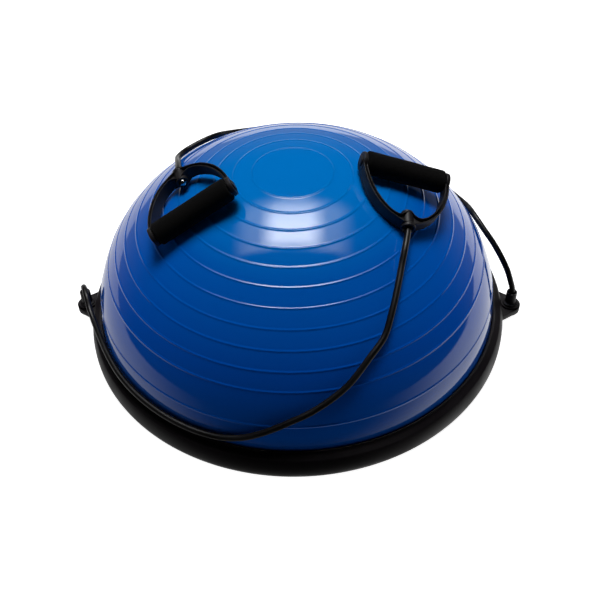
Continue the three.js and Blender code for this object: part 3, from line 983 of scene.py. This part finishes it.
@dataclass
class Band:
    """One elastic tube, from its lug, over the rim or through the air, along the dome and into a handle's boss."""

    side: Side
    length: float
    radius: float = 4 * MM

    @staticmethod
    def smooth(points: Array, steps: int) -> Array:
        """A centripetal Catmull-Rom curve through points.

        Each span is the cubic whose end slopes come from its neighbours, with the square root of the distance
        between points as its measure of time; beyond each end the first step is repeated.

        Args:
            points: the route's points.
            steps: samples in each span.

        Returns:
            The curve's points.
        """
        ends = np.stack([2 * points[0] - points[1], 2 * points[-1] - points[-2]])
        chain = np.concatenate([ends[:1], points, ends[1:]])
        gap = np.sqrt(np.linalg.norm(np.diff(chain, axis=0), axis=1))[:, None]
        p0, p1, p2, p3 = chain[:-3], chain[1:-2], chain[2:-1], chain[3:]
        g0, g1, g2 = gap[:-2], gap[1:-1], gap[2:]
        start = ((p1 - p0) / g0 - (p2 - p0) / (g0 + g1) + (p2 - p1) / g1) * g1
        end = ((p2 - p1) / g1 - (p3 - p1) / (g1 + g2) + (p3 - p2) / g2) * g1
        t = np.linspace(0.0, 1.0, steps, endpoint=False)[None, :, None]
        spans = (
            (2 * t**3 - 3 * t**2 + 1) * p1[:, None]
            + (t**3 - 2 * t**2 + t) * start[:, None]
            + (3 * t**2 - 2 * t**3) * p2[:, None]
            + (t**3 - t**2) * end[:, None]
        )
        return np.concatenate([spans.reshape(-1, 3), points[-1:]])

    def route(self, dome: DomeBladder, handle: Handle) -> Array:
        """The route's points, as they are in the CAD model.

        Args:
            dome: the dome that it lies on.
            handle: the handle that it ends in.

        Returns:
            The points, in metres.
        """
        sign, lift = float(self.side.value), self.radius + 0.9 * MM

        def lies(azimuth: float, height: float, out: float = lift) -> Array:
            """A point of the band's middle where it lies on the dome."""
            return dome.on_skin(azimuth, height * MM, out)

        def free(x: float, y: float, z: float) -> Array:
            """A point of the band's middle clear of the dome."""
            return np.array([x, y, z]) * MM

        foot = [free(sign * LUG_REACH, 0, z) for z in (24, 38, 52)]
        if self.side is Side.LEFT:
            way = [
                free(-301, -5, 63), free(-296, -17, 69), free(-291, -30, 68), free(-286, -44, 61.5),
                free(-279, -60, 57.5), free(-268, -84, 57),
                lies(-152, 59), lies(-143, 59), lies(-134, 59), lies(-125, 59), lies(-116, 59.5), lies(-108, 63),
                lies(-102, 71), lies(-98, 80), lies(-94, 90), lies(-90, 100), lies(-84, 113), lies(-75, 135),
                lies(-67, 158), free(110, -200, 174), free(119, -176.5, 190.5), free(126, -150.5, 204.5),
                free(131.5, -126, 216.5), free(136, -107, 227.5),
            ]
        else:
            way = [
                free(298.5, 1, 68), free(291.5, 5, 87), free(282, 13, 104), free(271, 26, 118),
                free(259, 42, 128.5),
                lies(15, 133), lies(21, 125), lies(27, 116.5), lies(33, 112.5), lies(40, 117), lies(48, 128),
                lies(57, 139), lies(67, 148), lies(77, 155), lies(87, 160.5), lies(96, 163.5), lies(104, 166),
                lies(111, 171), lies(117.5, 180), lies(123, 190.5), lies(129, 196.5), lies(135, 196.5),
                lies(141, 196.5), lies(147, 203), lies(152, 212, 6 * MM), free(-154, 56, 233),
                handle.boss_point(104, 2),
            ]
        mouth = handle.boss_mouth
        return np.array([*foot, *way, handle.boss_point(mouth), handle.boss_point(mouth - handle.band_inset)])

    def make(self, dome: DomeBladder, handle: Handle) -> None:
        """Args:
            dome: the dome that it lies on.
            handle: the handle that it ends in.
        """
        line = self.smooth(self.route(dome, handle), steps=12)
        along = unit(np.gradient(line, axis=0))
        out = line - np.array([0.0, 0.0, dome.spring])
        up = unit(out - (out * along).sum(axis=1, keepdims=True) * along)
        across = np.cross(along, up)
        angle = np.linspace(0.0, TAU, 20, endpoint=False)
        section = np.stack([np.cos(angle), np.sin(angle)], axis=1) * self.radius
        label = self.side.label
        tube = swept(f"{label}_band_tube", line, section, across, up, LATEX, chart_scale=1.0 / MM)
        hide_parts(f"{label}_band")
        measured = float(np.linalg.norm(np.diff(line, axis=0), axis=1).sum())
        LOG.info("%s band measures %.3f m along its middle", label, measured)
        tuple(handle.boss_point(handle.boss_mouth))
        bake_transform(tube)


# ---- Studio ----


@dataclass
class Studio:
    """The camera, a white floor, and the lights that the glossy dome mirrors."""

    lens: float = 54.5
    distance: float = 1.3
    elevation: float = 45.26
    azimuth: float = 2.6
    roll: float = -1.81
    aim: tuple[float, float, float] = (4.1 * MM, 0.2 * MM, 31.8 * MM)
    core: float = 12.0  # the softbox's brightness in its middle, and in its wings
    wings: float = 2.1
    table: float = 1.05  # the brightness of the low white surfaces
    fill: float = 1.0  # bounced light from low at the sides and back, and from the front
    fill_front: float = 0.06
    glow: float = 0.3  # the wall behind
    dark: float = 0.004  # the rest of the room
    lowest: float = 0.05  # the lowest rise at which a direction still meets the ceiling
    off_middle: float = 0.03  # how far the softbox stands to the left of the middle
    back_rise: float = 0.16  # how much higher the low surfaces end at the back

    def camera(self) -> None:
        """Stands the camera in front of the trainer and above it, looking down at the board's middle."""
        up, round_ = math.radians(self.elevation), math.radians(self.azimuth)
        back = Vector((math.sin(round_) * math.cos(up), -math.cos(round_) * math.cos(up), math.sin(up)))
        camera_data = bpy.data.cameras.new("studio_camera")
        camera_data.lens = self.lens
        camera = bpy.data.objects.new("studio_camera", camera_data)
        bpy.context.collection.objects.link(camera)
        turn = back.to_track_quat("Z", "Y").to_matrix().to_4x4() @ Matrix.Rotation(math.radians(self.roll), 4, "Z")
        camera.matrix_world = Matrix.Translation(Vector(self.aim) + back * self.distance) @ turn
        bpy.context.scene.camera = camera

    def floor(self) -> None:
        """A white floor that the camera sees, and that leaves reflections to the world behind it."""
        half = 12.0
        corners = np.array([(-half, -half, 0.0), (half, -half, 0.0), (half, half, 0.0), (-half, half, 0.0)])
        paper = Finish("studio_white", "#E8E8E8", roughness=0.9)
        floor = make_piece("studio_floor", corners, np.array([[0, 1, 2, 3]]), paper)
        shader = floor.data.materials[0].node_tree.nodes["Principled BSDF"]
        shader.inputs["Emission Color"].default_value = (1.0, 1.0, 1.0, 1.0)
        shader.inputs["Emission Strength"].default_value = 1.0
        shader.inputs["Specular IOR Level"].default_value = 0.0
        floor.visible_glossy = False
        floor.visible_diffuse = False

    def world(self) -> None:
        """The lights, as a sky: a softbox above and a little behind, and low white surfaces at the back and sides.

        The softbox is drawn on a ceiling one unit up, where a direction meets it at its X and Y over its Z: a
        bright core fades into dimmer wings. The low surfaces fade from the back, past the sides, to the front,
        and end at a crisp edge below the horizon. Light bounced between floor and walls reaches only matt colour.
        """
        world = bpy.data.worlds.new("studio_world")
        bpy.context.scene.world = world
        world.use_nodes = True
        tree = world.node_tree
        way = add_node(tree, "ShaderNodeTexCoord").outputs["Generated"]
        axes = add_node(tree, "ShaderNodeSeparateXYZ", (way,)).outputs
        right, back, high = axes["X"], axes["Y"], axes["Z"]
        rise = add_node(tree, MATH, (high, self.lowest), operation="MAXIMUM")
        aside = add_node(tree, MATH, (right, rise), operation="DIVIDE")
        aside = add_node(tree, MATH, (aside, self.off_middle), **PLUS)
        along = add_node(tree, MATH, (aside,), operation="ABSOLUTE")
        deep = add_node(tree, MATH, (back, rise), operation="DIVIDE")

        def panel(half: Pair, near: Pair, far: Pair, level: float) -> bpy.types.Node:
            """A soft-edged patch of the ceiling.

            Args:
                half: where its sides start and finish fading, out from its middle.
                near: where its front edge rises.
                far: where its back edge falls.
                level: its brightness.

            Returns:
                The node that gives its brightness.
            """
            sides = add_node(tree, REMAP, (along, *half, level, 0.0), **SMOOTH)
            front = add_node(tree, REMAP, (deep, *near, 0.0, 1.0), **SMOOTH)
            rear = add_node(tree, REMAP, (deep, *far, 1.0, 0.0), **SMOOTH)
            return add_node(tree, MATH, (sides, add_node(tree, MATH, (front, rear), **TIMES)), **TIMES)

        core = panel((0.1, 0.28), (0.06, 0.2), (0.3, 0.74), self.core)
        wings = panel((0.3, 0.52), (0.04, 0.12), (0.5, 0.76), self.wings)
        behind = add_node(tree, REMAP, (back, 0.0, 0.9, 0.0, 1.0), **SMOOTH)
        drop = add_node(tree, MATH, (behind, self.back_rise), **TIMES)
        edge = add_node(tree, MATH, (high, drop), operation="SUBTRACT")
        rays = add_node(tree, "ShaderNodeLightPath").outputs
        parts = {
            "table": ((edge, -0.3, -0.275, 1.0, 0.0), (right, -0.7, 0.7, 0.6 * self.table, self.table)),
            "glow": ((high, -0.2, 0.45, self.glow, 0.0),),
            "bounce": ((high, -0.35, 0.3, 1.0, 0.0), (back, -0.9, -0.2, self.fill_front, self.fill)),
        }
        reach = {
            "table": add_node(tree, REMAP, (back, -0.75, 0.1, 0.0, 1.0), **SMOOTH),
            "glow": behind,
            "bounce": rays["Is Diffuse Ray"],
        }
        light = add_node(tree, MATH, (core, wings), **PLUS)
        for name, factors in parts.items():
            part = reach[name]
            for factor in factors:
                part = add_node(tree, MATH, (part, add_node(tree, REMAP, factor, **SMOOTH)), **TIMES)
            light = add_node(tree, MATH, (light, part), **PLUS)
        light = add_node(tree, MATH, (light, self.dark), **PLUS)
        sky = tree.nodes["Background"]
        sky.inputs["Color"].default_value = (1.0, 1.0, 1.0, 1.0)
        shown = (light, rays["Is Camera Ray"])
        add_node(tree, MATH, shown, feeds=sky.inputs["Strength"], operation="MAXIMUM")

    def make(self) -> None:
        """Builds the camera, floor and lights, and shows colours as they are."""
        self.camera()
        self.floor()
        self.world()
        bpy.context.scene.view_settings.view_transform = "Standard"


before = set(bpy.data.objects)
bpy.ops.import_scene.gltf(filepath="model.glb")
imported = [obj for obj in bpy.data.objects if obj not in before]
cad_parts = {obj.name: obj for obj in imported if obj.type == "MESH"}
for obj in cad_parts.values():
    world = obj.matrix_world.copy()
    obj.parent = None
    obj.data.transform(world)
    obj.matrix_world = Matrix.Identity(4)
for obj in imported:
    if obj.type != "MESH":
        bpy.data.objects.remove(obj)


def main() -> None:
    """Builds the studio, then the trainer from the cords inwards."""
    logging.basicConfig(level=logging.INFO, format="%(name)s %(message)s")
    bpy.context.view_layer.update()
    Studio().make()
    dome = DomeBladder()
    handles = {
        Side.LEFT: Handle(Side.LEFT, (-119.5, -68.2, 252.6), (-0.296, 0.952, -0.078), (-0.447, -0.066, 0.892)),
        Side.RIGHT: Handle(Side.RIGHT, (140.5, 9.8, 251.4), (0.003, -0.982, -0.189), (0.363, -0.175, 0.915)),
    }
    for side, length in ((Side.LEFT, 0.796), (Side.RIGHT, 0.843)):
        Band(side, length).make(dome, handles[side.other])
    dome.make()
    Base().make()
    for side in Side:
        LugFitting(side).make()
        handles[side].make()


if __name__ == "__main__":
    main()
